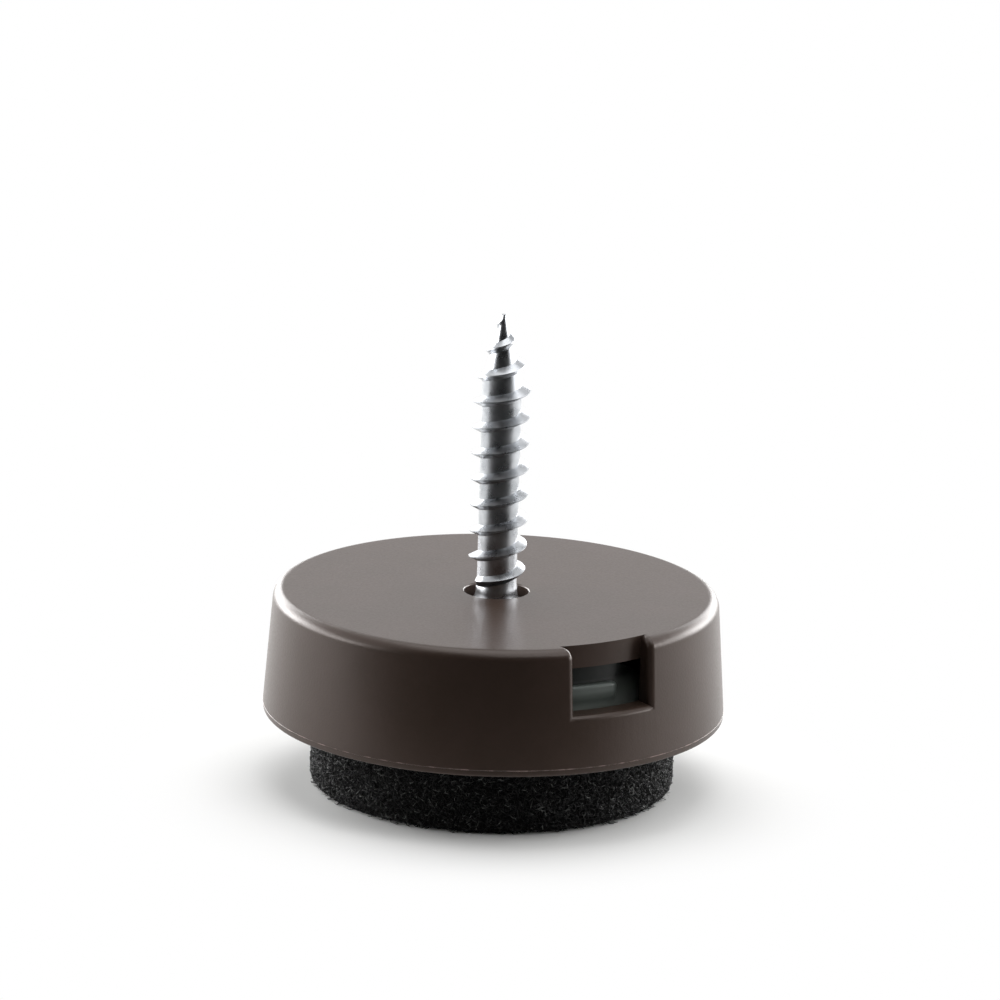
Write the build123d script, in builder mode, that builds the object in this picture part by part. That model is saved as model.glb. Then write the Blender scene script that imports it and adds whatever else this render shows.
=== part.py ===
from build123d import *
from math import cos, hypot, isclose, radians, sin, tan
import os

# A furniture glide: a moulded base that is screwed under a leg, and a felt-covered
# insert that clicks into the base from below. Millimetres, +Z up. The origin is on the
# floor, under the middle of the felt, and the base's pry notch faces -Y.

# Felt pad
felt_diameter = 22.0
felt_thickness = 5.0

# Insert carrier
felt_recess_depth = 0.5
felt_clearance = 0.1
carrier_margin = 1.1
flange_thickness = 0.9
disc_thickness = 1.3
collar_wall = 1.0
finger_count = 4
finger_turn = -5.9
slot_width = 2.0
slot_floor_rise = 0.6
shoulder_slope = 27.0
shoulder_run = 5.8
bead_rise = 0.35
bead_arc = 24.5
bead_height = 1.35
bead_corner = 0.28
bead_land = 0.75
bead_slope = 0.85

# Base
socket_clearance = 0.3
skirt_wall = 1.5
skirt_draft = 4.4
base_height = 7.5
plate_thickness = 1.4
top_edge_radius = 0.7
parting_height = 0.4
parting_step = 0.06
rim_chamfer = 0.15
notch_width = 5.2
notch_height = 4.0
notch_edge_radius = 0.45
lip_rise = 0.35
lip_width = 0.8
lip_drop = 0.55
snap_clearance = 0.05
boss_wall = 1.1
seat_land = 1.0
rib_count = 6
rib_thickness = 1.0
rib_clearance = 0.1
collar_gap = 0.4

# Wood screw
screw_diameter = 3.5
screw_length = 20.0
screw_neck_diameter = 2.5
screw_head_diameter = 7.0
screw_head_rim = 0.3
screw_point_length = 4.0
screw_tip_radius = 0.15
thread_start = 0.3
screw_hole_clearance = 0.4
seat_clearance = 0.03
recess_width = 0.9
recess_span = 3.8
recess_depth = 1.7

# Levels
rim_z = felt_thickness - felt_recess_depth
top_z = rim_z + base_height
plate_z = top_z - plate_thickness
notch_z = top_z - notch_height
parting_z = rim_z + parting_height
lip_z = notch_z - lip_drop
bead_z = notch_z + bead_height
disc_z = felt_thickness + disc_thickness
screw_hole_diameter = screw_diameter + screw_hole_clearance
seat_radius = screw_head_diameter / 2 + seat_clearance
seat_z = top_z - seat_land - (seat_radius - screw_hole_diameter / 2)
head_z = seat_z - screw_head_rim
screw_tip_z = head_z + screw_length

# Radii, from the felt outwards
felt_radius = felt_diameter / 2
recess_radius = felt_radius + felt_clearance
flange_radius = recess_radius + carrier_margin
socket_radius = flange_radius + socket_clearance
base_radius = socket_radius + skirt_wall
top_radius = base_radius - (top_z - parting_z) * tan(radians(skirt_draft))
lip_radius = socket_radius - lip_rise
bead_radius = lip_radius - snap_clearance
collar_radius = bead_radius - bead_rise
collar_inner_radius = collar_radius - collar_wall
boss_radius = seat_radius + boss_wall


def is_notch_edge(edge):
    """True for the edges of the notch's two sides on the outside of the skirt."""
    reach = max(hypot(vertex.X, vertex.Y) for vertex in edge.vertices())
    on_side = isclose(abs(edge.center().X), notch_width / 2) and edge.center().Z > notch_z
    return on_side and reach > socket_radius + notch_edge_radius


# The base's section is turned round Z: plate, drafted skirt, parting step, the lip that
# the snap beads click past, and the boss for the screw's head.
with BuildPart() as base:
    with BuildSketch(Plane.XZ) as section:
        with BuildLine():
            Polyline(
                (0, head_z),
                (0, top_z),
                (top_radius, top_z),
                (base_radius, parting_z),
                (base_radius - parting_step, parting_z),
                (base_radius - parting_step, rim_z),
                (socket_radius, rim_z),
                (socket_radius, lip_z - lip_width / 2),
                (lip_radius, lip_z),
                (socket_radius, lip_z + lip_width / 2),
                (socket_radius, plate_z),
                (boss_radius, plate_z),
                (boss_radius, head_z),
                close=True,
            )
        make_face()
        top_corner = section.vertices().sort_by_distance((top_radius, top_z))[0]
        fillet(top_corner, top_edge_radius)
        rim_corner = section.vertices().sort_by_distance((base_radius - parting_step, rim_z))[0]
        chamfer(rim_corner, rim_chamfer)
    revolve(axis=Axis.Z)

    # Stiffening ribs between the boss and the insert's collar carry the insert's disc.
    rib_z = disc_z + rib_clearance
    rib_reach = collar_inner_radius - collar_gap - boss_radius
    rib_root = boss_wall / 2
    with BuildSketch(Plane.XY.offset(rib_z)):
        with PolarLocations(boss_radius - rib_root + (rib_reach + rib_root) / 2, rib_count):
            Rectangle(rib_reach + rib_root, rib_thickness)
    extrude(amount=plate_z + plate_thickness / 2 - rib_z)

    # The pry notch takes the skirt away in front of the plate's edge, down to its floor,
    # and so opens a window under the plate.
    with BuildSketch(Plane.XY.offset(notch_z)):
        with Locations((0, -base_radius)):
            Rectangle(notch_width, 2 * base_radius)
        Circle(socket_radius, mode=Mode.SUBTRACT)
    extrude(amount=notch_height, mode=Mode.SUBTRACT)

    # The notch's outer edges are rounded, up both sides and over the top.
    fillet(base.edges().filter_by(is_notch_edge), notch_edge_radius)

    # The screw's countersunk seat is entered from below, and the head's rim sinks in.
    with Locations(Plane((0, 0, seat_z), z_dir=(0, 0, -1))):
        CounterSinkHole(screw_hole_diameter / 2, seat_radius, counter_sink_angle=90)

with BuildPart() as screw:
    head_radius = screw_head_diameter / 2
    neck_radius = screw_neck_diameter / 2
    thread_radius = screw_diameter / 2
    thread_z = top_z + thread_start
    with BuildSketch(Plane.XZ):
        with BuildLine():
            Polyline(
                (0, head_z),
                (head_radius, head_z),
                (head_radius, head_z + screw_head_rim),
                (neck_radius, head_z + screw_head_rim + head_radius - neck_radius),
                (neck_radius, thread_z),
                (thread_radius, thread_z),
                (thread_radius, screw_tip_z - screw_point_length),
                (screw_tip_radius, screw_tip_z),
                (0, screw_tip_z),
                close=True,
            )
        make_face()
    revolve(axis=Axis.Z)
    with BuildSketch(Plane.XY.offset(head_z)):
        Rectangle(recess_span, recess_width)
        Rectangle(recess_width, recess_span)
    extrude(amount=recess_depth, mode=Mode.SUBTRACT)

# The carrier is a disc with a locating recess for the felt, a flange that fills the
# base's mouth, and a collar cut into snap fingers, each with a rounded bead.
with BuildPart() as insert_carrier:
    with BuildSketch(Plane.XZ):
        with BuildLine():
            Polyline(
                (0, felt_thickness),
                (recess_radius, felt_thickness),
                (recess_radius, rim_z),
                (flange_radius, rim_z),
                (flange_radius, rim_z + flange_thickness),
                (collar_radius, rim_z + flange_thickness),
                (collar_radius, plate_z),
                (collar_inner_radius, plate_z),
                (collar_inner_radius, disc_z),
                (0, disc_z),
                close=True,
            )
        make_face()
    revolve(axis=Axis.Z)

    finger_step = 360 / finger_count
    finger_angles = [finger_turn - 90 + finger_step * i for i in range(finger_count)]

    # Each slot between two fingers opens upwards, so the fingers' tops slope down to it.
    slot_planes = []
    for angle in finger_angles:
        slot_angle = radians(angle + finger_step / 2)
        slot_planes.append(
            Plane(
                (0, 0, 0),
                x_dir=(-sin(slot_angle), cos(slot_angle), 0),
                z_dir=(cos(slot_angle), sin(slot_angle), 0),
            )
        )
    slot_floor_z = disc_z + slot_floor_rise
    slot_shoulder_z = plate_z - shoulder_run * tan(radians(shoulder_slope))
    with BuildSketch(*slot_planes):
        with BuildLine():
            Polyline(
                (-slot_width / 2, slot_floor_z),
                (slot_width / 2, slot_floor_z),
                (slot_width / 2, slot_shoulder_z),
                (slot_width / 2 + shoulder_run, plate_z),
                (-slot_width / 2 - shoulder_run, plate_z),
                (-slot_width / 2, slot_shoulder_z),
                close=True,
            )
        make_face()
    extrude(amount=flange_radius, mode=Mode.SUBTRACT)

    # A bead is a short ring segment on a finger's wall. It has a rounded top corner to enter
    # the base, a narrow land, and a long slope below, so that the insert can be pried out.
    bead_planes = []
    for angle in finger_angles:
        bead_start = radians(angle - bead_arc / 2)
        bead_planes.append(
            Plane(
                (0, 0, bead_z),
                x_dir=(cos(bead_start), sin(bead_start), 0),
                z_dir=(sin(bead_start), -cos(bead_start), 0),
            )
        )
    bead_root = collar_radius - collar_wall / 2
    with BuildSketch(*bead_planes) as bead_section:
        with BuildLine():
            Polyline(
                (bead_root, 0),
                (bead_radius, 0),
                (bead_radius, -bead_land),
                (collar_radius, -bead_land - bead_slope),
                (bead_root, -bead_land - bead_slope),
                close=True,
            )
        make_face()
        bead_top = bead_section.vertices().sort_by_distance((bead_radius, 0))[0]
        fillet(bead_top, bead_corner)
    revolve(axis=Axis.Z, revolution_arc=bead_arc)

with BuildPart() as felt_pad:
    Cylinder(felt_radius, felt_thickness, align=(Align.CENTER, Align.CENTER, Align.MIN))

base.part.label = "base"
screw.part.label = "screw"
insert_carrier.part.label = "insert_carrier"
felt_pad.part.label = "felt_pad"

os.makedirs("parts", exist_ok=True)
for piece in (base, screw, insert_carrier, felt_pad):
    export_step(piece.part, f"parts/{piece.part.label}.step")
    print(piece.part.label, round(piece.part.volume, 1), piece.part.bounding_box().size)
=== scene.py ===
# %% [markdown]
# # A screw-in furniture glide with a felt insert
# The glide has four pieces: a moulded base, a wood screw, a moulded carrier that clicks into
# the base, and a felt pad under the carrier. The CAD model gives their sizes and places. Here
# each piece is modelled again with the fine detail that the eye looks for, such as rounded
# edges, a screw thread and loose felt fibres. The file can be read from top to bottom.

# %% Load the CAD frame
import math
import random

import bmesh
import bpy
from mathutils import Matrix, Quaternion, Vector


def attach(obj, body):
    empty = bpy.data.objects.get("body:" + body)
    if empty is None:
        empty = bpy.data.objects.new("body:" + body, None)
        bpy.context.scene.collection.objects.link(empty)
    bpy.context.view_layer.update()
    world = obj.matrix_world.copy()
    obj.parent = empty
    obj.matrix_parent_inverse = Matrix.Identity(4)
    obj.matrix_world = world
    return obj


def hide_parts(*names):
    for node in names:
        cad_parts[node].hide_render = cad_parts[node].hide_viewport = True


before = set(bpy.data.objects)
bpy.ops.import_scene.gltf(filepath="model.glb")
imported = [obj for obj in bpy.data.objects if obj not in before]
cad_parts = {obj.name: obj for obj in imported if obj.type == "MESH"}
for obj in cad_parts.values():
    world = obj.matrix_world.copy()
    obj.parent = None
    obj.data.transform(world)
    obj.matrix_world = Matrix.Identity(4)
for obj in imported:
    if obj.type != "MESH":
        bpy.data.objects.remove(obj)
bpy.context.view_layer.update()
MM = 0.001

# %% [markdown]
# ## Small helpers
# Blender's tools work best on numbers near one, so every piece is modelled with one unit to
# the millimetre and is scaled to metres at its end. An operator acts on everything that is
# selected, so each helper first selects only what it needs.

# %% Helpers for selecting


def only(piece):
    """Select one object and make it the active one."""
    bpy.ops.object.select_all(action="DESELECT")
    piece.select_set(True)
    bpy.context.view_layer.objects.active = piece


def pick(piece, test, kind="VERT"):
    """In edit mode, select the vertices, edges or faces that pass a test."""
    bpy.ops.mesh.select_mode(type=kind)
    bpy.ops.mesh.select_all(action="DESELECT")
    mesh = bmesh.from_edit_mesh(piece.data)
    items = {"VERT": mesh.verts, "EDGE": mesh.edges, "FACE": mesh.faces}[kind]
    chosen = [item for item in items if test(item)]
    for item in chosen:
        item.select_set(True)
    mesh.select_flush_mode()
    bmesh.update_edit_mesh(piece.data)
    return len(chosen)


# %% [markdown]
# ## The base
# The base is one moulding: a flat plate, a skirt that widens downwards, and a boss for the
# screw's head. It could be cut from a cylinder, but all of it is round, so one outline is
# drawn from corner to corner, its corners are rounded, and the spin tool turns it like a
# lathe. The mould's two halves meet just above the bottom edge and leave a thin raised line.

# %% Base: drawing tools


def draw_outline(name, corners):
    """Start from one point and extrude it from corner to corner, in the XZ plane."""
    bpy.ops.object.select_all(action="DESELECT")
    bpy.ops.mesh.primitive_plane_add(size=1.0)
    piece = bpy.context.object
    piece.name = name
    bpy.ops.object.mode_set(mode="EDIT")
    bpy.ops.mesh.select_mode(type="VERT")
    bpy.ops.mesh.select_all(action="SELECT")
    bpy.ops.mesh.merge(type="CENTER")
    here = Vector((corners[0][0], 0.0, corners[0][1]))
    bpy.ops.transform.translate(value=here)
    for corner in corners[1:]:
        there = Vector((corner[0], 0.0, corner[1]))
        bpy.ops.mesh.extrude_vertices_move(TRANSFORM_OT_translate={"value": there - here})
        here = there
    return piece


def close_outline(piece, first, last):
    """Join the two ends of an outline with an edge."""
    ends = [Vector((corner[0], 0.0, corner[1])) for corner in (first, last)]
    pick(piece, lambda vert: min((vert.co - end).length for end in ends) < 0.001)
    bpy.ops.mesh.edge_face_add()


def round_corner(piece, corner, length, segments):
    """Bevel one corner of an outline; length is measured along its two edges."""
    place = Vector((corner[0], 0.0, corner[1]))
    pick(piece, lambda vert: (vert.co - place).length < 0.001)
    bpy.ops.mesh.bevel(affect="VERTICES", offset=length, segments=segments, profile=0.5)


# %% Base: outline
RIM_Z = 4.5
FLASH_Z = 4.9
LIP_Z = 7.45
HEAD_Z = 9.12
SEAT_Z = 9.42
PLATE_Z = 10.6
TOP_Z = 12.0
HOLE_RADIUS = 1.95
SEAT_RADIUS = 3.53
BOSS_RADIUS = 4.63
LIP_RADIUS = 12.15
LIP_HALF = 0.4
PLATE_RADIUS = 12.47
SOCKET_RADIUS = 12.5
TOP_RADIUS = 13.4537
BAND_RADIUS = 13.955
RIM_RADIUS = 13.965
SKIRT_RADIUS = 13.98
FLASH_RADIUS = 14.0
FLASH_TOP_Z = FLASH_Z + 0.025
TOP_ROUND = 0.65

# Four of the corners draw the raised parting line, a ridge about 0.05 mm wide.
base_corners = [
    (HOLE_RADIUS, TOP_Z),
    (PLATE_RADIUS - 0.4, TOP_Z),
    (PLATE_RADIUS, TOP_Z),
    (TOP_RADIUS, TOP_Z),
    (SKIRT_RADIUS, FLASH_TOP_Z),
    (FLASH_RADIUS, FLASH_Z + 0.008),
    (FLASH_RADIUS, FLASH_Z - 0.01),
    (BAND_RADIUS, FLASH_Z - 0.03),
    (RIM_RADIUS, RIM_Z),
    (SOCKET_RADIUS, RIM_Z),
    (SOCKET_RADIUS, LIP_Z - LIP_HALF),
    (LIP_RADIUS, LIP_Z),
    (SOCKET_RADIUS, LIP_Z + LIP_HALF),
    (SOCKET_RADIUS, PLATE_Z),
    (BOSS_RADIUS, PLATE_Z),
    (BOSS_RADIUS, HEAD_Z),
    (SEAT_RADIUS, HEAD_Z),
    (SEAT_RADIUS, SEAT_Z),
    (HOLE_RADIUS, SEAT_Z + SEAT_RADIUS - HOLE_RADIUS),
]
base = draw_outline("glide_base", base_corners)
close_outline(base, base_corners[0], base_corners[-1])
for corner, length, segments in (
    ((TOP_RADIUS, TOP_Z), TOP_ROUND, 12),
    ((RIM_RADIUS, RIM_Z), 0.14, 5),
    ((SOCKET_RADIUS, RIM_Z), 0.12, 3),
    ((LIP_RADIUS, LIP_Z), 0.15, 4),
    ((BOSS_RADIUS, PLATE_Z), 0.25, 4),
    ((HOLE_RADIUS, TOP_Z), 0.1, 3),
):
    round_corner(base, corner, length, segments)
print("base outline has", len(bmesh.from_edit_mesh(base.data).verts), "points")

# %% [markdown]
# The lathe makes a step every two degrees. It is turned by one degree, so that no step falls
# on the notch's sides and the cut through them stays clean. Six ribs under the plate stiffen
# it and hold the insert level. They could be part of the outline only if they ran all round,
# so one rib is made from a block, copied round, and joined on with Boolean modifiers.

# %% Base: lathe and joining tools


def spin_round(piece, steps):
    """Turn an outline once round the upright axis into a closed skin."""
    bpy.ops.mesh.select_all(action="SELECT")
    bpy.ops.mesh.spin(steps=steps, angle=2 * math.pi, center=(0, 0, 0), axis=(0, 0, 1))
    bpy.ops.mesh.select_all(action="SELECT")
    bpy.ops.mesh.remove_doubles(threshold=0.0005)
    bpy.ops.mesh.normals_make_consistent(inside=False)
    bpy.ops.object.mode_set(mode="OBJECT")


def turn(piece, degrees):
    """Turn a piece about the upright axis, with the turn kept in its mesh."""
    only(piece)
    piece.rotation_euler.z = math.radians(degrees)
    bpy.ops.object.transform_apply(location=True, rotation=True, scale=True)


def add_block(name, low, high):
    """Add a cube and give it two opposite corners."""
    bpy.ops.object.select_all(action="DESELECT")
    bpy.ops.mesh.primitive_cube_add(size=1.0)
    block = bpy.context.object
    block.name = name
    bpy.ops.object.mode_set(mode="EDIT")
    bpy.ops.mesh.select_all(action="SELECT")
    bpy.ops.transform.resize(value=Vector(high) - Vector(low))
    bpy.ops.transform.translate(value=(Vector(high) + Vector(low)) / 2)
    bpy.ops.object.mode_set(mode="OBJECT")
    return block


def copy_of(piece):
    """Copy a piece with a mesh of its own."""
    only(piece)
    bpy.ops.object.duplicate(linked=False)
    return bpy.context.object


def combine(piece, other, operation):
    """Add another piece to this one, or cut it away, and remove the other."""
    only(piece)
    bpy.ops.object.modifier_add(type="BOOLEAN")
    modifier = piece.modifiers[-1]
    modifier.operation = operation
    modifier.solver = "EXACT"
    modifier.object = other
    bpy.ops.object.modifier_apply(modifier=modifier.name)
    bpy.data.objects.remove(other)


# %% Base: lathe and ribs
LATHE_STEPS = 180
LATHE_TURN = 1.0
RIB_COUNT = 6
RIB_HALF = 0.5
RIB_START = 4.08
RIB_END = 10.35
RIB_Z = 6.4
RIB_TOP_Z = 11.3
spin_round(base, LATHE_STEPS)
turn(base, LATHE_TURN)
rib = add_block("rib", (RIB_START, -RIB_HALF, RIB_Z), (RIB_END, RIB_HALF, RIB_TOP_Z))
for number in range(RIB_COUNT):
    one_rib = copy_of(rib)
    turn(one_rib, 360.0 * number / RIB_COUNT)
    combine(base, one_rib, "UNION")
bpy.data.objects.remove(rib)
print("base has", len(base.data.polygons), "faces with its ribs")

# %% [markdown]
# A square notch in the skirt lets a screwdriver reach the insert. Its edges are rounded, and a
# bevel can't do that here, because the skirt's faces are narrower than the rounding. So the
# cutter gets the round shape: it is a block with a flared mouth. The mouth is a stack of
# layers. Each layer follows the outside of the base at its own depth, and the nearer it is to
# the outside, the wider it is.

# %% Base: flared mouth of the notch
NOTCH_HALF = 2.6
NOTCH_Z = 8.0
SIDE_ROUND = 0.42
SILL_ROUND = 0.32
DRAFT = math.atan2(SKIRT_RADIUS - TOP_RADIUS, TOP_Z - FLASH_TOP_Z)
ARC = TOP_ROUND * math.tan((math.pi / 2 + DRAFT) / 2)


def flare(depth, radius):
    """How far a rounded edge has opened at a depth below the outside."""
    into = min(max(1.0 - depth / radius, 0.0), 1.0)
    return radius * (1.0 - math.sqrt(1.0 - into**2))


def outside(station, sill):
    """Radius, height and slope of the base's outside, from the sill (0) to the plate (1)."""
    if station == 0:
        return TOP_RADIUS + (TOP_Z - sill) * math.tan(DRAFT), sill, DRAFT
    if station == 1:
        return PLATE_RADIUS - 0.2, TOP_Z, math.pi / 2
    slope = DRAFT + (math.pi / 2 - DRAFT) * (station - 0.05) / 0.9
    return (
        TOP_RADIUS - TOP_ROUND + ARC * math.cos(slope),
        TOP_Z - ARC + ARC * math.sin(slope),
        slope,
    )


print("skirt leans by", round(math.degrees(DRAFT), 2), "degrees")

# %% [markdown]
# The layers are close together where the rounding is steep. The innermost one is a little
# smaller than the block, so that the two overlap and join cleanly. The outermost one lies
# outside the base, so that nothing is left over the notch.

# %% Base: layers of the mouth
MOUTH_LAP = 0.03
MOUTH_INSIDE = 0.1
MOUTH_OUTSIDE = 0.4
ACROSS = 16
depths = [SIDE_ROUND * (1 - math.sin(math.radians(9 * step))) for step in range(11)]
depths = [SIDE_ROUND + MOUTH_INSIDE] + depths + [-MOUTH_OUTSIDE]
stations = [0] + [0.05 + 0.9 * step / 12 for step in range(13)] + [1]
places, faces = [], []
for depth in depths:
    half = NOTCH_HALF + (flare(depth, SIDE_ROUND) if depth <= SIDE_ROUND else -MOUTH_LAP)
    sill = NOTCH_Z - (flare(depth, SILL_ROUND) if depth <= SIDE_ROUND else -MOUTH_LAP)
    for station in stations:
        radius, height, slope = outside(station, sill)
        radius -= depth * math.cos(slope)
        height -= depth * math.sin(slope) if station else 0.0
        for step in range(ACROSS + 1):
            x = half * (2 * step / ACROSS - 1)
            places.append((x, -math.sqrt(radius**2 - x**2), height))
ROW = ACROSS + 1
LAYER = ROW * len(stations)
rim = list(range(ROW)) + [ROW * (row + 1) - 1 for row in range(1, len(stations))]
rim += [LAYER - 1 - step for step in range(1, ROW)]
rim += [ROW * row for row in range(len(stations) - 2, 0, -1)]
for layer in range(len(depths) - 1):
    for one, two in zip(rim, rim[1:] + rim[:1]):
        low = layer * LAYER
        faces.append((low + one, low + two, low + LAYER + two, low + LAYER + one))
for low in (0, LAYER * (len(depths) - 1)):
    for row in range(len(stations) - 1):
        for step in range(ACROSS):
            corner = low + row * ROW + step
            faces.append((corner, corner + 1, corner + 1 + ROW, corner + ROW))
mesh = bpy.data.meshes.new("notch_mouth")
mesh.from_pydata(places, [], faces)
mouth = bpy.data.objects.new("notch_mouth", mesh)
bpy.context.scene.collection.objects.link(mouth)
only(mouth)
bpy.ops.object.mode_set(mode="EDIT")
bpy.ops.mesh.select_all(action="SELECT")
bpy.ops.mesh.delete_loose()
bpy.ops.mesh.select_all(action="SELECT")
bpy.ops.mesh.normals_make_consistent(inside=False)
bpy.ops.object.mode_set(mode="OBJECT")
print("notch mouth has", len(mesh.polygons), "faces")

# %% [markdown]
# The plate's round edge is taken out of the cutter's back, so the plate stays whole behind the
# notch and the notch opens a window under it. The finished piece is shaded smooth, apart from
# its sharp edges, scaled to metres and tied to its CAD body, so that it moves with it.

# %% Base: finishing tool


def finish_piece(piece, degrees, body, node=None):
    """Shade a piece, scale it to metres and tie it to its CAD body."""
    only(piece)
    bpy.ops.object.shade_smooth_by_angle(angle=math.radians(degrees))
    bpy.ops.object.modifier_add(type="WEIGHTED_NORMAL")
    piece.modifiers[-1].keep_sharp = True
    bpy.ops.object.modifier_apply(modifier=piece.modifiers[-1].name)
    piece.scale = (MM, MM, MM)
    bpy.ops.object.transform_apply(location=True, rotation=True, scale=True)
    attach(piece, body)
    if node:
        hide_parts(node)
    size = [round(value / MM, 2) for value in piece.dimensions]
    piece.data.calc_loop_triangles()
    print(piece.name, "is", size, "mm, with", len(piece.data.loop_triangles), "triangles")


# %% Base: notch
CUT_OUTSIDE = 17.0
CUT_INSIDE = 8.0
CUT_TOP_Z = 13.5
notch = add_block("notch", (-NOTCH_HALF, -CUT_OUTSIDE, NOTCH_Z), (NOTCH_HALF, -CUT_INSIDE, CUT_TOP_Z))
combine(notch, mouth, "UNION")
bpy.ops.object.select_all(action="DESELECT")
bpy.ops.mesh.primitive_cylinder_add(
    vertices=LATHE_STEPS, radius=PLATE_RADIUS, depth=8.0, location=(0, 0, 10.5)
)
plate_edge = bpy.context.object
turn(plate_edge, LATHE_TURN)
combine(notch, plate_edge, "DIFFERENCE")
combine(base, notch, "DIFFERENCE")
only(base)
bpy.ops.object.mode_set(mode="EDIT")
bpy.ops.mesh.select_all(action="SELECT")
bpy.ops.mesh.remove_doubles(threshold=0.001)
bpy.ops.object.mode_set(mode="OBJECT")
finish_piece(base, 32, "fixed_base", "base")

# %% [markdown]
# ## The insert's carrier
# The carrier is a disc with a low wall for the felt below and a collar above. The collar is
# cut into four fingers that can bend, and each finger has a rounded bead that clicks past the
# base's lip. The disc and collar are turned like the base.

# %% Carrier: lathe
FELT_TOP = 5.0
FLANGE_Z = 5.4
DISC_Z = 6.3
COLLAR_INSIDE = 10.75
RECESS_RADIUS = 11.1
COLLAR_RADIUS = 11.75
FLANGE_RADIUS = 12.2
carrier_corners = [
    (0.0, FELT_TOP),
    (RECESS_RADIUS, FELT_TOP),
    (RECESS_RADIUS, RIM_Z),
    (FLANGE_RADIUS, RIM_Z),
    (FLANGE_RADIUS, FLANGE_Z),
    (COLLAR_RADIUS, FLANGE_Z),
    (COLLAR_RADIUS, PLATE_Z),
    (COLLAR_INSIDE, PLATE_Z),
    (COLLAR_INSIDE, DISC_Z),
    (0.0, DISC_Z),
]
carrier = draw_outline("insert_shell", carrier_corners)
for corner, length, segments in (
    ((RECESS_RADIUS, RIM_Z), 0.1, 3),
    ((FLANGE_RADIUS, RIM_Z), 0.15, 4),
    ((FLANGE_RADIUS, FLANGE_Z), 0.12, 4),
    ((COLLAR_RADIUS, PLATE_Z), 0.15, 4),
    ((COLLAR_INSIDE, PLATE_Z), 0.12, 4),
    ((COLLAR_INSIDE, DISC_Z), 0.3, 4),
):
    round_corner(carrier, corner, length, segments)
spin_round(carrier, 144)
print("carrier has", len(carrier.data.polygons), "faces")

# %% [markdown]
# A gap between two fingers is a narrow slot that widens upwards, so that the fingers' tops
# slope down to it. The fingers could be made one by one, but it is simpler to cut a whole
# collar. The slot's outline is filled, extruded into a wedge and copied round.

# %% Carrier: gaps between the fingers
FINGER_COUNT = 4
FINGER_STEP = 360.0 / FINGER_COUNT
FINGER_TURN = -5.9
GAP_HALF = 1.0
GAP_Z = 6.9
SHOULDER_Z = 7.645
SHOULDER_RUN = 7.6
SHOULDER_SLOPE = math.radians(27.0)
WEDGE_TOP_Z = SHOULDER_Z + SHOULDER_RUN * math.tan(SHOULDER_SLOPE)
WEDGE_START = -14.0
WEDGE_LENGTH = 8.0
wedge_corners = [
    (-GAP_HALF, GAP_Z),
    (GAP_HALF, GAP_Z),
    (GAP_HALF, SHOULDER_Z),
    (GAP_HALF + SHOULDER_RUN, WEDGE_TOP_Z),
    (-GAP_HALF - SHOULDER_RUN, WEDGE_TOP_Z),
    (-GAP_HALF, SHOULDER_Z),
]
wedge = draw_outline("finger_gap", wedge_corners)
close_outline(wedge, wedge_corners[0], wedge_corners[-1])
bpy.ops.mesh.select_all(action="SELECT")
bpy.ops.mesh.edge_face_add()
bpy.ops.transform.translate(value=(0.0, WEDGE_START, 0.0))
bpy.ops.mesh.extrude_region_move(TRANSFORM_OT_translate={"value": (0.0, WEDGE_LENGTH, 0.0)})
bpy.ops.mesh.select_all(action="SELECT")
bpy.ops.mesh.normals_make_consistent(inside=False)
bpy.ops.object.mode_set(mode="OBJECT")
for number in range(FINGER_COUNT):
    gap = copy_of(wedge)
    turn(gap, FINGER_TURN + FINGER_STEP * (number + 0.5))
    combine(carrier, gap, "DIFFERENCE")
bpy.data.objects.remove(wedge)
print("carrier has", len(carrier.data.polygons), "faces with its gaps")

# %% [markdown]
# A bead is a short ridge on a finger. Its top corner is round, its face is upright, and below
# it slopes back into the finger. The section is drawn as an outline and swept along an arc by
# the spin tool.

# %% Carrier: one snap bead
BEAD_HALF_ARC = math.radians(12.4)
BEAD_ROOT = 11.4
BEAD_FOOT_RADIUS = 11.72
BEAD_RADIUS = 12.1
BEAD_FOOT_Z = 7.75
BEAD_LAND_Z = 8.6
BEAD_Z = 9.35
bead_corners = [
    (BEAD_ROOT, BEAD_Z),
    (BEAD_RADIUS, BEAD_Z),
    (BEAD_RADIUS, BEAD_LAND_Z),
    (BEAD_FOOT_RADIUS, BEAD_FOOT_Z),
    (BEAD_ROOT, BEAD_FOOT_Z),
]
bead = draw_outline("snap_bead", bead_corners)
close_outline(bead, bead_corners[0], bead_corners[-1])
round_corner(bead, (BEAD_RADIUS, BEAD_Z), 0.27, 8)
round_corner(bead, (BEAD_RADIUS, BEAD_LAND_Z), 0.3, 6)
bpy.ops.object.mode_set(mode="OBJECT")
turn(bead, math.degrees(BEAD_HALF_ARC))
bpy.ops.object.mode_set(mode="EDIT")
bpy.ops.mesh.select_all(action="SELECT")
bpy.ops.mesh.spin(steps=60, angle=2 * BEAD_HALF_ARC, center=(0, 0, 0), axis=(0, 0, 1))
for side in (-1, 1):
    end = pick(bead, lambda vert: abs(math.atan2(vert.co.y, vert.co.x) - side * BEAD_HALF_ARC) < 0.0005)
    bpy.ops.mesh.edge_face_add()
    print("bead end", side, "has", end, "points")
bpy.ops.mesh.select_all(action="SELECT")
bpy.ops.mesh.normals_make_consistent(inside=False)
bpy.ops.object.mode_set(mode="OBJECT")
print("bead has", len(bead.data.polygons), "faces")

# %% [markdown]
# The bead's two ends are round too. A bevel would have to run over many small faces there, so
# each point near an end is drawn in towards the finger and, above the middle, lowered, along
# a quarter of a circle. Then the bead is copied to the four fingers.

# %% Carrier: round ends and four beads
BEAD_END = 0.6
BEAD_MIDDLE = 12.0
END_RADIUS = 11.7
DROP_Z = 8.75
DROP_SHARE = 0.8


def reach(point):
    """Distance of a point from the glide's upright axis."""
    return math.hypot(point.x, point.y)


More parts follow.
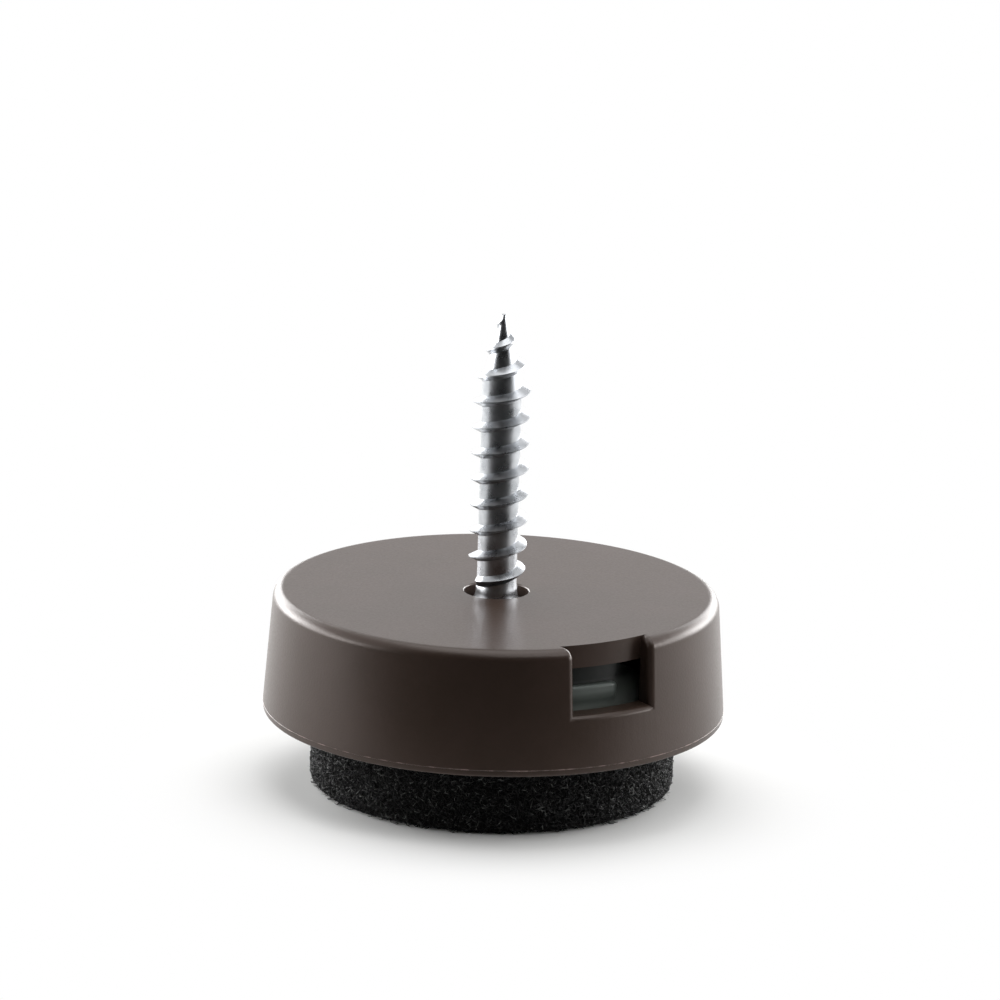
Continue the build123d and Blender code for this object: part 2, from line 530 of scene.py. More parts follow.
for vert in bead.data.vertices:
    old = reach(vert.co)
    from_end = BEAD_MIDDLE * (BEAD_HALF_ARC - abs(math.atan2(vert.co.y, vert.co.x)))
    fall = 1.0 - math.sqrt(max(1.0 - max(1.0 - from_end / BEAD_END, 0.0) ** 2, 0.0))
    new = old - fall * max(old - END_RADIUS, 0.0)
    drop = DROP_SHARE * fall * max(vert.co.z - DROP_Z, 0.0)
    vert.co = Vector((vert.co.x * new / old, vert.co.y * new / old, vert.co.z - drop))
for number in range(FINGER_COUNT):
    one_bead = copy_of(bead)
    turn(one_bead, FINGER_TURN - 90.0 + FINGER_STEP * number)
    combine(carrier, one_bead, "UNION")
bpy.data.objects.remove(bead)
finish_piece(carrier, 32, "insert", "insert_carrier")

# %% [markdown]
# ## The wood screw
# A countersunk wood screw holds the glide in place. Its thread could be drawn on with a bump,
# but then its edge would stay straight. So the outline of one turn, as high as the pitch, is
# wound upwards by the Screw modifier, and each turn runs on into the next. Then the thread is
# drawn in to a point, and cut off level at both ends.

# %% Screw: thread
CORE = 1.2
CREST = 1.75
PITCH = 1.6
THREAD_Z = 12.3
POINT_Z = 25.12
TIP_Z = 29.12
TIP_RADIUS = 0.15
RUN_IN = 1.2
WINDING_Z = 9.0
WINDING_TURNS = 13
TURN_STEPS = 48
FLANK_Z = WINDING_Z + 0.94
CREST_Z = WINDING_Z + 1.23
CREST_END_Z = WINDING_Z + 1.31
thread_corners = [
    (CORE, WINDING_Z),
    (CORE, FLANK_Z),
    (CREST, CREST_Z),
    (CREST, CREST_END_Z),
    (CORE, WINDING_Z + PITCH),
]
thread = draw_outline("wood_screw", thread_corners)
bpy.ops.object.mode_set(mode="OBJECT")
only(thread)
bpy.ops.object.modifier_add(type="SCREW")
winding = thread.modifiers[-1]
winding.axis = "Z"
winding.screw_offset = PITCH
winding.iterations = WINDING_TURNS
winding.steps = TURN_STEPS
winding.render_steps = TURN_STEPS
winding.use_merge_vertices = True
winding.merge_threshold = 0.0005
bpy.ops.object.modifier_apply(modifier=winding.name)


def thread_reach(height, old_reach):
    """Radius of a thread point after the run-in at the neck and the taper to the point."""
    run_in = min(max((height - THREAD_Z) / RUN_IN, 0.0), 1.0)
    full = CORE + (old_reach - CORE) * run_in
    along = min(max((height - POINT_Z) / (TIP_Z - POINT_Z), 0.0), 1.0)
    return full * (1.0 + (TIP_RADIUS / CREST - 1.0) * along)


for vert in thread.data.vertices:
    old = reach(vert.co)
    new = thread_reach(vert.co.z, old)
    vert.co.x *= new / old
    vert.co.y *= new / old
bpy.ops.object.mode_set(mode="EDIT")
for level, side in ((THREAD_Z - 0.2, -1), (TIP_Z - 0.005, 1)):
    bpy.ops.mesh.select_all(action="SELECT")
    bpy.ops.mesh.bisect(
        plane_co=(0, 0, level), plane_no=(0, 0, side), use_fill=True, clear_outer=True
    )
bpy.ops.mesh.select_all(action="SELECT")
bpy.ops.mesh.remove_doubles(threshold=0.0005)
bpy.ops.mesh.normals_make_consistent(inside=False)
bpy.ops.object.mode_set(mode="OBJECT")
print("thread has", len(thread.data.polygons), "faces")

# %% [markdown]
# The head and neck are turned on the lathe, because both are round. The cross recess for the
# driver is pressed into the head on a real screw, with sides that draw in. Here it is cut by
# two crossed bars with narrower tops.

# %% Screw: head, neck and cross recess
HEAD_RADIUS = 3.5
NECK_RADIUS = 1.25
NECK_Z = SEAT_Z + HEAD_RADIUS - NECK_RADIUS
NECK_TOP_Z = 12.6
RECESS_HALF_SPAN = 1.9
RECESS_HALF_WIDTH = 0.45
RECESS_DEPTH = 1.7
RECESS_DRAW_IN = (0.55, 0.8, 1.0)
head_corners = [
    (0.0, HEAD_Z),
    (HEAD_RADIUS, HEAD_Z),
    (HEAD_RADIUS, SEAT_Z),
    (NECK_RADIUS, NECK_Z),
    (NECK_RADIUS, NECK_TOP_Z - 0.35),
    (NECK_RADIUS - 0.15, NECK_TOP_Z),
    (0.0, NECK_TOP_Z),
]
head = draw_outline("screw_head", head_corners)
round_corner(head, (HEAD_RADIUS, HEAD_Z), 0.1, 4)
round_corner(head, (HEAD_RADIUS, SEAT_Z), 0.12, 4)
round_corner(head, (NECK_RADIUS, NECK_Z), 0.3, 4)
spin_round(head, 96)
bar = add_block(
    "recess_bar",
    (-RECESS_HALF_SPAN, -RECESS_HALF_WIDTH, HEAD_Z - 0.3),
    (RECESS_HALF_SPAN, RECESS_HALF_WIDTH, HEAD_Z + RECESS_DEPTH),
)
only(bar)
bpy.ops.object.mode_set(mode="EDIT")
pick(bar, lambda vert: vert.co.z > HEAD_Z)
bpy.ops.transform.resize(value=RECESS_DRAW_IN, center_override=(0, 0, HEAD_Z))
bpy.ops.object.mode_set(mode="OBJECT")
other_bar = copy_of(bar)
turn(other_bar, 90.0)
combine(head, bar, "DIFFERENCE")
combine(head, other_bar, "DIFFERENCE")
combine(thread, head, "UNION")
screw = thread
finish_piece(screw, 28, "fixed_base", "screw")

# %% [markdown]
# ## The felt pad
# The pad is a thick disc of needle felt: a tangle of short fibres, with no threads or weave.
# The disc is turned on the lathe and made uneven with a Displace modifier. That alone looks
# like rubber, so thousands of fine fibres are laid on it as thin three-sided tubes. Most lie
# flat in the tangle, and a few stand out and give the pad its soft edge.

# %% Felt: body
FELT_RADIUS = 10.93
FELT_BOTTOM = 0.06
EDGE_ROUND = 0.45
felt_corners = [
    (0.0, FELT_BOTTOM),
    (FELT_RADIUS, FELT_BOTTOM),
    (FELT_RADIUS, FELT_TOP),
    (0.0, FELT_TOP),
]
felt = draw_outline("felt_disc", felt_corners)
round_corner(felt, (FELT_RADIUS, FELT_BOTTOM), EDGE_ROUND, 5)
pick(felt, lambda edge: min(vert.co.x for vert in edge.verts) > FELT_RADIUS - 0.01, "EDGE")
bpy.ops.mesh.subdivide(number_cuts=22)
pick(felt, lambda edge: min(vert.co.x for vert in edge.verts) < 0.001, "EDGE")
bpy.ops.mesh.subdivide(number_cuts=12)
spin_round(felt, 280)
lumps = bpy.data.textures.new("felt_lumps", "CLOUDS")
lumps.noise_scale = 0.45
lumps.noise_depth = 2
only(felt)
bpy.ops.object.modifier_add(type="DISPLACE")
felt.modifiers[-1].texture = lumps
felt.modifiers[-1].texture_coords = "LOCAL"
felt.modifiers[-1].mid_level = 0.5
felt.modifiers[-1].strength = 0.14
bpy.ops.object.modifier_apply(modifier=felt.modifiers[-1].name)
print("felt body has", len(felt.data.polygons), "faces")

# %% [markdown]
# A fibre starts somewhere on the pad, wanders over it for half a millimetre or so with a
# random curl, and lifts off a little in its middle. A loose hair stands out of the wall and
# bends over. The random numbers have a fixed seed, so each run gives the same felt.

# %% Felt: paths of the fibres
FIBRE_STEPS = 3
WALL_LENGTHS = (0.2, 0.65)
WALL_HEIGHTS = (0.08, 4.75)
WALL_LIFT = 0.15
SHORT_HAIRS = (0.08, 0.22)
LONG_HAIRS = (0.22, 0.55)
SHORT_SHARE = 0.95
SOLE_LENGTHS = (0.5, 1.3)
SOLE_START = 10.6
SOLE_REACH = 11.05


def wall_point(angle, height, lift):
    """A point on the pad's wall, or on its rounded bottom edge, lifted off it."""
    low = max(EDGE_ROUND + FELT_BOTTOM - height, 0.0)
    inset = EDGE_ROUND - math.sqrt(max(EDGE_ROUND**2 - low**2, 0.0))
    radius = FELT_RADIUS - inset + lift
    return Vector((radius * math.cos(angle), radius * math.sin(angle), height))


def lying_fibre(rng):
    """A fibre that wanders over the wall."""
    angle, height = rng.uniform(0, 2 * math.pi), rng.uniform(*WALL_HEIGHTS)
    heading, step = rng.uniform(0, 2 * math.pi), rng.uniform(*WALL_LENGTHS) / FIBRE_STEPS
    lift, sink = rng.uniform(0.0, WALL_LIFT), rng.uniform(0.0, 0.06)
    points = []
    for number in range(FIBRE_STEPS + 1):
        rise = lift * math.sin(math.pi * number / FIBRE_STEPS) - sink
        points.append(wall_point(angle, max(height, 0.07), min(rise, WALL_LIFT)))
        heading += rng.gauss(0.0, 0.9)
        angle += step * math.cos(heading) / FELT_RADIUS
        height = min(height + step * math.sin(heading), 4.95)
    return points


def standing_fibre(rng):
    """A fibre that stands out of the wall and bends over."""
    angle, height = rng.uniform(0, 2 * math.pi), rng.triangular(0.08, 4.3, 0.3)
    out = Vector((math.cos(angle), math.sin(angle), 0.0))
    along = Vector((-out.y, out.x, 0.0))
    length = rng.uniform(*SHORT_HAIRS) if rng.random() < SHORT_SHARE else rng.uniform(*LONG_HAIRS)
    way = out * rng.uniform(0.35, 1.0) + along * rng.gauss(0, 0.7) + Vector((0, 0, rng.gauss(0, 0.6)))
    way.normalize()
    bend = along * rng.gauss(0, 0.25) + Vector((0, 0, rng.gauss(-0.05, 0.25)))
    here = wall_point(angle, height, -0.05)
    points = []
    for number in range(FIBRE_STEPS + 1):
        points.append(Vector((here.x, here.y, max(here.z, 0.04))))
        way = (way + bend * 0.5).normalized()
        here = here + way * length / FIBRE_STEPS
    return points


def sole_fibre(rng):
    """A fibre that wanders over the pad's flat underside."""
    radius, angle = SOLE_START * math.sqrt(rng.random()), rng.uniform(0, 2 * math.pi)
    here = Vector((radius * math.cos(angle), radius * math.sin(angle), 0.0))
    heading, step = rng.uniform(0, 2 * math.pi), rng.uniform(*SOLE_LENGTHS) / FIBRE_STEPS
    lift = rng.uniform(0.02, 0.09)
    points = []
    for number in range(FIBRE_STEPS + 1):
        here = here * min(1.0, SOLE_REACH / max(here.length, 0.1))
        drop = lift * math.sin(math.pi * number / FIBRE_STEPS)
        points.append(Vector((here.x, here.y, max(FELT_BOTTOM + 0.05 - drop, 0.03))))
        heading += rng.gauss(0.0, 0.65)
        here = here + Vector((math.cos(heading), math.sin(heading), 0.0)) * step
    return points


print("a fibre on the wall is", WALL_LENGTHS, "mm long, in", FIBRE_STEPS, "steps")

# %% [markdown]
# A fibre is a tube with three sides, which is enough at this size and keeps the mesh small.
# Real fibres are about 0.02 mm thick. Those that lie in the tangle are drawn about twice as
# thick, because finer ones would not show. Every fibre keeps one grey tone in a point
# attribute, which the material reads later, because real charcoal felt mixes black, grey and a
# few pale fibres.

# %% Felt: fibres
ASKEW = Vector((0.31, 0.17, 0.93))
TIP_SHARE = 0.25


def grow_fibres(name, seed, count, path, mean_radius):
    """Make a piece of many fibres, each a tube with three sides and a fine tip."""
    rng = random.Random(seed)
    places, faces, tones = [], [], []
    for _ in range(count):
        points = path(rng)
        tone = rng.random()
        radius = mean_radius * rng.uniform(0.75, 1.3)
        first = len(places)
        for number, point in enumerate(points):
            after = points[min(number + 1, len(points) - 1)]
            before = points[max(number - 1, 0)]
            ahead = (after - before).normalized()
            side = ahead.cross(ASKEW).normalized()
            other = ahead.cross(side)
            taper = radius * (TIP_SHARE if number in (0, len(points) - 1) else 1.0)
            for corner in range(3):
                swing = 2 * math.pi * corner / 3
                places.append(point + (side * math.cos(swing) + other * math.sin(swing)) * taper)
                tones.append(tone)
        for number in range(len(points) - 1):
            ring = first + 3 * number
            for corner in range(3):
                after = (corner + 1) % 3
                faces.append((ring + corner, ring + after, ring + after + 3, ring + corner + 3))
        faces.append((first + 2, first + 1, first))
        last = first + 3 * (len(points) - 1)
        faces.append((last, last + 1, last + 2))
    mesh = bpy.data.meshes.new(name)
    mesh.from_pydata(places, [], faces)
    attribute = mesh.attributes.new("fibre_tone", "FLOAT", "POINT")
    attribute.data.foreach_set("value", tones)
    piece = bpy.data.objects.new(name, mesh)
    bpy.context.scene.collection.objects.link(piece)
    only(piece)
    bpy.ops.object.mode_set(mode="EDIT")
    bpy.ops.mesh.select_all(action="SELECT")
    bpy.ops.mesh.normals_make_consistent(inside=False)
    bpy.ops.object.mode_set(mode="OBJECT")
    return piece


fibres = [
    grow_fibres("felt_wall_fibres_a", 11, 8800, lying_fibre, 0.026),
    grow_fibres("felt_wall_fibres_b", 19, 8800, lying_fibre, 0.022),
    grow_fibres("felt_wall_fibres_c", 29, 8800, lying_fibre, 0.022),
    grow_fibres("felt_loose_hairs", 23, 1800, standing_fibre, 0.005),
    grow_fibres("felt_sole_fibres", 37, 6500, sole_fibre, 0.022),
]
finish_piece(felt, 180, "insert", "felt_pad")
for piece in fibres:
    finish_piece(piece, 180, "insert")

# %% [markdown]
# ## Materials
# Each material is built from nodes, so its detail has a real size. Colours are written as
# sRGB hex values, as a paint program shows them, and one function turns them into the linear
# values that the shader needs.

# %% Materials: helpers


def linear(hex_colour):
    """Turn an sRGB hex colour into linear values."""
    parts = [int(hex_colour[place:place + 2], 16) / 255 for place in (1, 3, 5)]
    return [part / 12.92 if part <= 0.04045 else ((part + 0.055) / 1.055) ** 2.4 for part in parts] + [1.0]


def add_node(tree, kind, inputs, **settings):
    """Add a node: an input that is a socket gets linked, any other is set as a value."""
    node = tree.nodes.new(kind)
    for name, value in settings.items():
        setattr(node, name, value)
    for name, value in inputs.items():
        if isinstance(value, bpy.types.NodeSocket):
            tree.links.new(value, node.inputs[name])
        else:
            node.inputs[name].default_value = value
    return node


def new_material(name):
    """Start a material, and return it with its node tree, its shader and its coordinates."""
    material = bpy.data.materials.new(name)
    material.use_nodes = True
    tree = material.node_tree
    shader = tree.nodes["Principled BSDF"]
    place = add_node(tree, "ShaderNodeTexCoord", {}).outputs["Object"]
    return material, tree, shader, place


def dress(piece, material):
    """Give a piece one material all over."""
    piece.data.materials.clear()
    piece.data.materials.append(material)


# %% [markdown]
# The base is dark-brown nylon, moulded in a steel tool that was blasted with fine grit. That
# gives the eye a satin sheen, a very fine grain and a slow cloudiness. Real grain of this kind
# is about 0.05 mm wide. It is drawn at 0.14 mm, because finer grain would not show. Along the
# raised parting line, a broken pale line is painted on as a painted highlight, for the light
# that the ridge's edge catches.

# %% Materials: brown moulded nylon
brown, tree, shader, place = new_material("brown_moulded_nylon")
cloud = add_node(tree, "ShaderNodeTexNoise", {"Vector": place, "Scale": 1 / (3.0 * MM), "Detail": 3.0})
tint = add_node(tree, "ShaderNodeValToRGB", {"Fac": cloud.outputs["Fac"]})
tint.color_ramp.elements[0].position = 0.3
tint.color_ramp.elements[0].color = linear("#392d26")
tint.color_ramp.elements[1].position = 0.7
tint.color_ramp.elements[1].color = linear("#3e312b")
height = add_node(tree, "ShaderNodeSeparateXYZ", {"Vector": place}).outputs["Z"]
from_line = add_node(tree, "ShaderNodeMath", {0: height, 1: FLASH_Z * MM}, operation="SUBTRACT")
off_line = add_node(tree, "ShaderNodeMath", {0: from_line.outputs[0]}, operation="ABSOLUTE")
# Painted highlight: a pale line, broken into short lengths by noise, is painted along the parting line's
# ridge.
on_line = add_node(
    tree,
    "ShaderNodeMapRange",
    {
        "Value": off_line.outputs[0],
        "From Min": 0.015 * MM,
        "From Max": 0.045 * MM,
        "To Min": 1.0,
        "To Max": 0.0,
    },
)
highlight_breaks = add_node(tree, "ShaderNodeTexNoise", {"Vector": place, "Scale": 1 / (0.7 * MM), "Detail": 5.0})
highlight_break_step = add_node(
    tree,
    "ShaderNodeMapRange",
    {"Value": highlight_breaks.outputs["Fac"], "From Min": 0.48, "From Max": 0.64, "To Min": 0.05, "To Max": 1.0},
)
painted_line_highlight = add_node(
    tree, "ShaderNodeMath", {0: on_line.outputs[0], 1: highlight_break_step.outputs[0]}, operation="MULTIPLY"
)
colour = add_node(
    tree,
    "ShaderNodeMix",
    {"Factor": painted_line_highlight.outputs[0], 6: tint.outputs["Color"], 7: linear("#8a7570")},
    data_type="RGBA",
)
grit = add_node(tree, "ShaderNodeTexNoise", {"Vector": place, "Scale": 1 / (0.14 * MM), "Detail": 2.0})
gloss = add_node(
    tree,
    "ShaderNodeMapRange",
    {"Value": grit.outputs["Fac"], "From Min": 0.3, "From Max": 0.7, "To Min": 0.3, "To Max": 0.36},
)
bump = add_node(
    tree, "ShaderNodeBump", {"Height": grit.outputs["Fac"], "Strength": 0.3, "Distance": 0.02 * MM}
)
tree.links.new(colour.outputs[2], shader.inputs["Base Color"])
tree.links.new(gloss.outputs[0], shader.inputs["Roughness"])
tree.links.new(bump.outputs["Normal"], shader.inputs["Normal"])
shader.inputs["IOR"].default_value = 1.5
shader.inputs["Specular IOR Level"].default_value = 0.42
shader.inputs["Specular Tint"].default_value = linear("#fff6f2")
dress(base, brown)
print("made", brown.name)

# %% [markdown]
# The carrier is natural polypropylene with a little grey-green dye. It is slightly
# translucent, with a smooth, soft gloss from a polished mould. The collar's wall has painted
# shade: it is painted darkest at its top, under the plate's edge, and painted paler lower down,
# as painted light near the flange. The beads keep the material's plain middle tone. The height
# and the distance from the axis tell them apart.

# %% Materials: grey translucent polypropylene
grey, tree, shader, place = new_material("grey_translucent_polypropylene")
cloud = add_node(tree, "ShaderNodeTexNoise", {"Vector": place, "Scale": 1 / (2.0 * MM), "Detail": 2.0})
tint = add_node(tree, "ShaderNodeValToRGB", {"Fac": cloud.outputs["Fac"]})
tint.color_ramp.elements[0].position = 0.3
tint.color_ramp.elements[0].color = linear("#636a66")
tint.color_ramp.elements[1].position = 0.7
tint.color_ramp.elements[1].color = linear("#6c736f")
flat = add_node(tree, "ShaderNodeVectorMath", {0: place, 1: (1.0, 1.0, 0.0)}, operation="MULTIPLY")
radius = add_node(tree, "ShaderNodeVectorMath", {0: flat.outputs[0]}, operation="LENGTH")
bead_body = add_node(
    tree,
    "ShaderNodeMapRange",
    {"Value": radius.outputs["Value"], "From Min": 11.74 * MM, "From Max": 12.0 * MM},
)
level = add_node(tree, "ShaderNodeSeparateXYZ", {"Vector": place}).outputs["Z"]
# Painted shade and light: the collar's wall is painted dark near its top and pale lower down.
wall_shade_by_height = add_node(
    tree,
    "ShaderNodeMapRange",
    {"Value": level, "From Min": 9.6 * MM, "From Max": 8.0 * MM},
)
painted_wall_light_and_shade = add_node(
    tree,
    "ShaderNodeMix",
    {"Factor": wall_shade_by_height.outputs[0], 6: linear("#121513"), 7: linear("#868d88")},
    data_type="RGBA",
)
colour = add_node(
    tree,
    "ShaderNodeMix",
    {"Factor": bead_body.outputs[0], 6: painted_wall_light_and_shade.outputs[2], 7: tint.outputs["Color"]},
    data_type="RGBA",
)
ripple = add_node(tree, "ShaderNodeTexNoise", {"Vector": place, "Scale": 1 / (0.5 * MM), "Detail": 1.0})
bump = add_node(
    tree, "ShaderNodeBump", {"Height": ripple.outputs["Fac"], "Strength": 0.08, "Distance": 0.02 * MM}
)
tree.links.new(colour.outputs[2], shader.inputs["Base Color"])
tree.links.new(bump.outputs["Normal"], shader.inputs["Normal"])
shader.inputs["Roughness"].default_value = 0.3
shader.inputs["IOR"].default_value = 1.49
shader.inputs["Specular IOR Level"].default_value = 0.4
shader.inputs["Subsurface Weight"].default_value = 0.2
shader.inputs["Subsurface Radius"].default_value = (0.9, 1.0, 0.9)
shader.inputs["Subsurface Scale"].default_value = 0.4 * MM
dress(carrier, grey)
print("made", grey.name)

# %% [markdown]
# The screw is steel with a bright zinc plating: a cool grey metal with a soft gloss, a little
# cloudy from the bath. The plating's real grain is far too fine to see. It is drawn at 0.12 mm,
# so that it shows.

# %% Materials: zinc-plated steel
zinc, tree, shader, place = new_material("zinc_plated_steel")
cloud = add_node(tree, "ShaderNodeTexNoise", {"Vector": place, "Scale": 1 / (0.8 * MM), "Detail": 4.0})
tint = add_node(tree, "ShaderNodeValToRGB", {"Fac": cloud.outputs["Fac"]})
tint.color_ramp.elements[0].position = 0.3
tint.color_ramp.elements[0].color = linear("#9da0a4")
tint.color_ramp.elements[1].position = 0.7
tint.color_ramp.elements[1].color = linear("#b6b8bb")
gloss = add_node(
    tree,
    "ShaderNodeMapRange",
    {"Value": cloud.outputs["Fac"], "From Min": 0.3, "From Max": 0.7, "To Min": 0.24, "To Max": 0.36},
)
grain = add_node(tree, "ShaderNodeTexNoise", {"Vector": place, "Scale": 1 / (0.12 * MM), "Detail": 2.0})
bump = add_node(
    tree, "ShaderNodeBump", {"Height": grain.outputs["Fac"], "Strength": 0.1, "Distance": 0.02 * MM}
)
tree.links.new(tint.outputs["Color"], shader.inputs["Base Color"])
tree.links.new(gloss.outputs[0], shader.inputs["Roughness"])
tree.links.new(bump.outputs["Normal"], shader.inputs["Normal"])
shader.inputs["Metallic"].default_value = 1.0
dress(screw, zinc)
print("made", zinc.name)

# %% [markdown]
# The felt is charcoal polyester needle felt. Between the fibres it is nearly black. Most
# fibres are nearly black too, some are dark grey and a few are pale, and each has a dull shine.
# The specks of the ground stand for fibres deeper down. They are drawn 0.16 mm wide, because
# single fibres would not show there.

# %% Materials: felt body and felt fibres
felt_dark, tree, shader, place = new_material("charcoal_felt_ground")
speck = add_node(tree, "ShaderNodeTexNoise", {"Vector": place, "Scale": 1 / (0.16 * MM), "Detail": 4.0})
tint = add_node(tree, "ShaderNodeValToRGB", {"Fac": speck.outputs["Fac"]})
tint.color_ramp.elements[0].position = 0.4
tint.color_ramp.elements[0].color = linear("#030303")
tint.color_ramp.elements[1].position = 0.72
tint.color_ramp.elements[1].color = linear("#090909")
bump = add_node(
    tree, "ShaderNodeBump", {"Height": speck.outputs["Fac"], "Strength": 0.9, "Distance": 0.1 * MM}
)
tree.links.new(tint.outputs["Color"], shader.inputs["Base Color"])
tree.links.new(bump.outputs["Normal"], shader.inputs["Normal"])
shader.inputs["Roughness"].default_value = 0.95
shader.inputs["Specular IOR Level"].default_value = 0.1
shader.inputs["Sheen Weight"].default_value = 0.2
shader.inputs["Sheen Roughness"].default_value = 0.3
dress(felt, felt_dark)

felt_fibre, tree, shader, place = new_material("charcoal_felt_fibre")
tone = add_node(tree, "ShaderNodeAttribute", {}, attribute_name="fibre_tone", attribute_type="GEOMETRY")
tint = add_node(tree, "ShaderNodeValToRGB", {"Fac": tone.outputs["Fac"]})
tint.color_ramp.elements[0].position = 0.0
tint.color_ramp.elements[0].color = linear("#020202")
tint.color_ramp.elements[1].position = 1.0
tint.color_ramp.elements[1].color = linear("#80827f")
for position, shade in ((0.66, "#070707"), (0.9, "#232423")):
    stop = tint.color_ramp.elements.new(position)
    stop.color = linear(shade)
tree.links.new(tint.outputs["Color"], shader.inputs["Base Color"])
shader.inputs["Roughness"].default_value = 0.4
shader.inputs["Specular IOR Level"].default_value = 0.33
for piece in fibres:
    dress(piece, felt_fibre)
print("made", felt_dark.name, "and", felt_fibre.name)

# %% [markdown]
# ## Studio
# The studio is white and plain, as for a product picture. Its lights and cards are placed by
# three directions: to the right, to the front and up, as the camera sees them.

# %% Studio: view directions
AZIMUTH = math.radians(-31.6)
ELEVATION = math.radians(14.92)
ROLL = math.radians(1.62)
right = Vector((math.cos(AZIMUTH), math.sin(AZIMUTH), 0.0))
front = Vector((math.sin(AZIMUTH), -math.cos(AZIMUTH), 0.0))
up = Vector((0.0, 0.0, 1.0))
scene = bpy.context.scene
scene.view_settings.view_transform = "Standard"
print("the front is towards", [round(value, 2) for value in front])

# %% [markdown]
# The floor is plain and pale. Close to the glide it takes the shadow, and further out it
# turns into the same white as the background. It goes with the insert, so that a lowered
# insert still stands on it. It is open under the felt and clear from below, so that the sole
# can be seen from there.

# %% Studio: floor
FLOOR_RADIUS = 0.6
FLOOR_HOLE = 10.5 * MM
bpy.ops.object.select_all(action="DESELECT")
bpy.ops.mesh.primitive_circle_add(vertices=96, radius=FLOOR_RADIUS, fill_type="NGON")
floor = bpy.context.object
floor.name = "studio_floor"
bpy.ops.object.mode_set(mode="EDIT")
bpy.ops.mesh.select_all(action="SELECT")
bpy.ops.mesh.inset(thickness=FLOOR_RADIUS - FLOOR_HOLE)
bpy.ops.mesh.delete(type="FACE")
bpy.ops.object.mode_set(mode="OBJECT")
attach(floor, "insert")
paper, tree, shader, place = new_material("white_paper_floor")
shader.inputs["Base Color"].default_value = linear("#f4f4f3")
shader.inputs["Roughness"].default_value = 0.9
shader.inputs["Specular IOR Level"].default_value = 0.0
far = add_node(tree, "ShaderNodeVectorMath", {0: place}, operation="LENGTH")
fade = add_node(
    tree,
    "ShaderNodeMapRange",
    {"Value": far.outputs["Value"], "From Min": 12.0 * MM, "From Max": 22.8 * MM},
    interpolation_type="SMOOTHSTEP",
)
path = add_node(tree, "ShaderNodeLightPath", {})
seen = add_node(
    tree, "ShaderNodeMath", {0: path.outputs["Is Camera Ray"], 1: fade.outputs[0]}, operation="MULTIPLY"
)
glow = add_node(tree, "ShaderNodeEmission", {"Color": (1, 1, 1, 1), "Strength": 1.0})
mix = add_node(
    tree,
    "ShaderNodeMixShader",
    {0: seen.outputs[0], 1: shader.outputs["BSDF"], 2: glow.outputs["Emission"]},
)
underside = add_node(tree, "ShaderNodeNewGeometry", {}).outputs["Backfacing"]
clear = add_node(tree, "ShaderNodeBsdfTransparent", {})
mix = add_node(
    tree,
    "ShaderNodeMixShader",
    {0: underside, 1: mix.outputs[0], 2: clear.outputs["BSDF"]},
)
tree.links.new(mix.outputs[0], tree.nodes["Material Output"].inputs["Surface"])
dress(floor, paper)
print("made", floor.name, "with", len(floor.data.polygons), "faces")

# %% [markdown]
# The background is white to the camera and in reflections, but it gives only a little light.
# Two black cards, one behind the camera and one on the floor before the glide, keep the front
# dark in the satin plastic too. The camera can't see them.

# %% Studio: background and black cards
world = bpy.data.worlds.new("white_studio")
world.use_nodes = True
scene.world = world
tree = world.node_tree
path = add_node(tree, "ShaderNodeLightPath", {})
shown = add_node(
    tree,
    "ShaderNodeMath",
    {0: path.outputs["Is Camera Ray"], 1: path.outputs["Is Glossy Ray"]},
    operation="MAXIMUM",
)
shown = add_node(
    tree, "ShaderNodeMath", {0: shown.outputs[0], 1: path.outputs["Is Transmission Ray"]}, operation="MAXIMUM"
)
strength = add_node(
    tree, "ShaderNodeMapRange", {"Value": shown.outputs[0], "To Min": 0.15, "To Max": 1.0}
)
sky = tree.nodes["Background"]
sky.inputs["Color"].default_value = (1, 1, 1, 1)
tree.links.new(strength.outputs[0], sky.inputs["Strength"])

black, tree, shader, place = new_material("black_card_paper")
shader.inputs["Base Color"].default_value = linear("#0a0a0a")
shader.inputs["Roughness"].default_value = 1.0


def black_card(name, place, facing, size):
    """A card that faces a way and that the camera can't see."""
    bpy.ops.object.select_all(action="DESELECT")
    bpy.ops.mesh.primitive_plane_add(size=1.0)
    card = bpy.context.object
    card.name = name
    card.location = place
    card.scale = (size[0], size[1], 1.0)
    card.rotation_mode = "QUATERNION"
    card.rotation_quaternion = facing
    card.visible_camera = False
    dress(card, black)
    return card


black_card("black_card", front * 0.42 + up * 0.3, front.to_track_quat("Z", "Y"), (1.3, 1.3))
floor_card = black_card(
    "black_floor_card", front * 0.2395 + up * 0.0012, Quaternion((0, 0, 1), AZIMUTH), (0.9, 0.432)
)
floor_card.visible_shadow = False
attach(floor_card, "insert")
print("made two black cards")

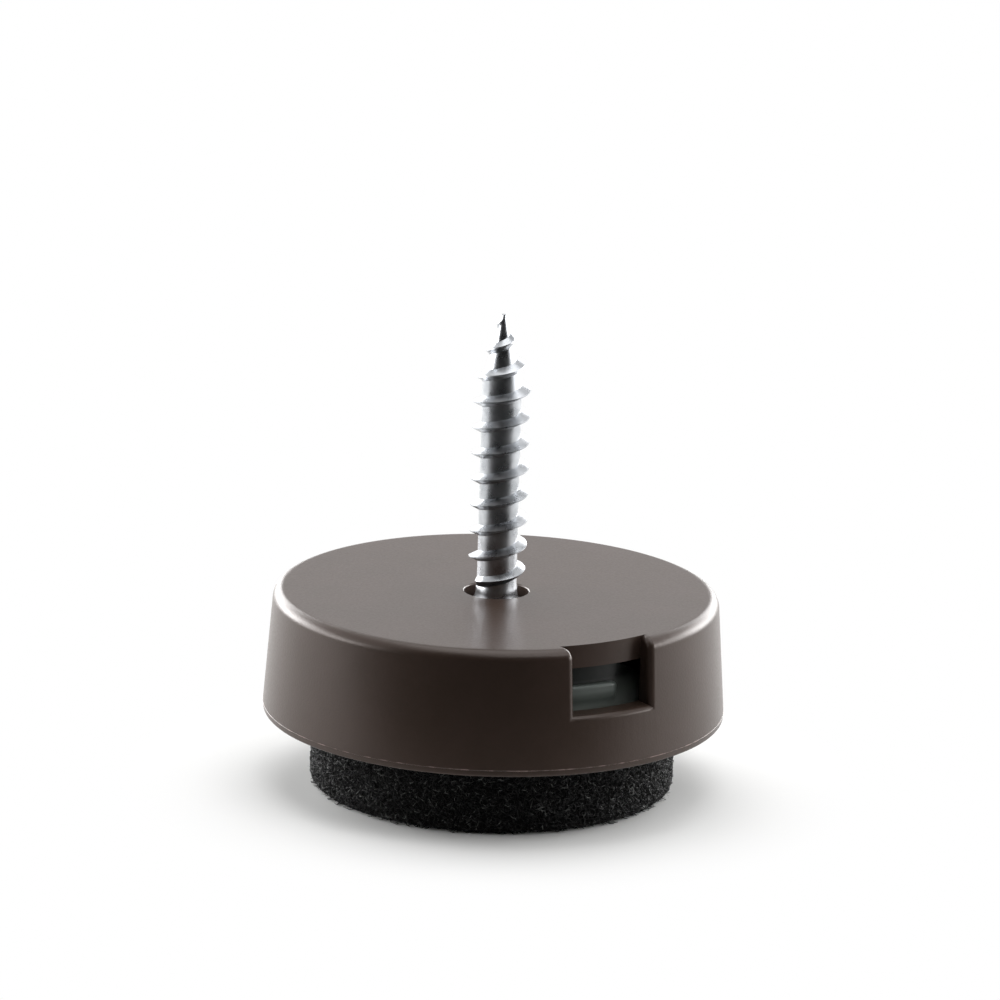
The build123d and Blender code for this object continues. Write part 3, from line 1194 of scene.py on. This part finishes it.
# %% [markdown]
# Soft lights stand low on both sides and further back, so that the sides shine and the front
# stays dark. One hangs above, and two weak ones, high in front, light the rims and the window.

# %% Studio: lights
GLIDE_MIDDLE = up * (8.0 * MM)


def soft_light(name, place, size, power):
    """A soft light, as a rectangle that faces the glide."""
    lamp = bpy.data.lights.new(name, "AREA")
    lamp.shape = "RECTANGLE"
    lamp.size, lamp.size_y = size
    lamp.energy = power
    light = bpy.data.objects.new(name, lamp)
    scene.collection.objects.link(light)
    light.location = place
    light.rotation_mode = "QUATERNION"
    light.rotation_quaternion = (GLIDE_MIDDLE - place).to_track_quat("-Z", "Y")
    light.visible_camera = False


soft_light("top_light", front * -0.06 + up * 0.4, (0.3, 0.32), 0.55)
soft_light("front_light", right * 0.07 + front * 0.185 + up * 0.37, (0.2, 0.12), 0.17)
soft_light("key_light", right * 0.2 + front * 0.12 + up * 0.35, (0.12, 0.12), 0.13)
for name, side, back_power, side_power in (("left", -1, 1.1, 1.0), ("right", 1, 1.0, 0.8)):
    back_place = right * 0.2 * side - front * 0.25 + up * 0.09
    side_place = right * 0.3 * side - front * 0.08 + up * 0.08
    soft_light(name + "_back_light", back_place, (0.3, 0.15), back_power)
    soft_light(name + "_side_light", side_place, (0.4, 0.12), side_power)

# %% [markdown]
# ## Camera
# The camera is far away with a long lens, as for a product picture. It looks slightly down,
# and it is rolled by a degree and a half because the object leans a little in its picture.

# %% Camera
CAMERA_DISTANCE = 391.4 * MM
TARGET_RIGHT = 0.064 * MM
TARGET_HEIGHT = 17.63 * MM
lens = bpy.data.cameras.new("camera")
lens.sensor_width = 36.0
lens.lens = 234.0
lens.clip_start = 0.01
lens.clip_end = 10.0
camera = bpy.data.objects.new("camera", lens)
scene.collection.objects.link(camera)
back = front * math.cos(ELEVATION) + up * math.sin(ELEVATION)
camera.location = right * TARGET_RIGHT + up * TARGET_HEIGHT + back * CAMERA_DISTANCE
camera.rotation_mode = "QUATERNION"
camera.rotation_quaternion = (-back).to_track_quat("-Z", "Y") @ Quaternion((0, 0, 1), ROLL)
scene.camera = camera
print("camera has a lens of", lens.lens, "mm")
